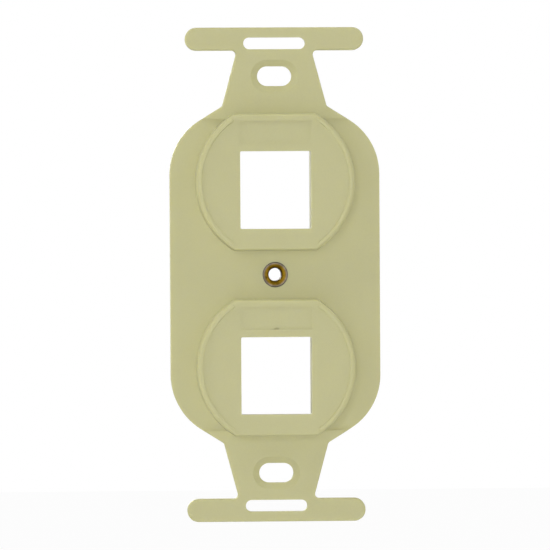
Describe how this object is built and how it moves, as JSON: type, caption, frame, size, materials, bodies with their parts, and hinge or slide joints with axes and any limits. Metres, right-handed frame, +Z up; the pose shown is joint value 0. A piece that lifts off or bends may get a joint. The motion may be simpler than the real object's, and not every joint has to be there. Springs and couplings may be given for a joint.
{
  "type": "keystone mounting frame",
  "caption": "Ivory moulded duplex-pattern mounting frame: keystone jack ports in raised faces, plaster ears with screw slots and a brass insert for the cover plate's screw.",
  "frame": {"origin": "on the threaded insert's axis, in the plane where the backs of the ears lie on the box", "axes": "+Z up along the ears, +Y into the wall, +X to the right seen from the front"},
  "size_m": [0.044, 0.0111, 0.1038],
  "materials": {
    "ivory_plastic": "satin",
    "turned_brass": "as turned"
  },
  "bodies": {
    "root": {"mounting_frame": "ivory_plastic", "threaded_insert": "turned_brass"}
  },
  "joints": []
}
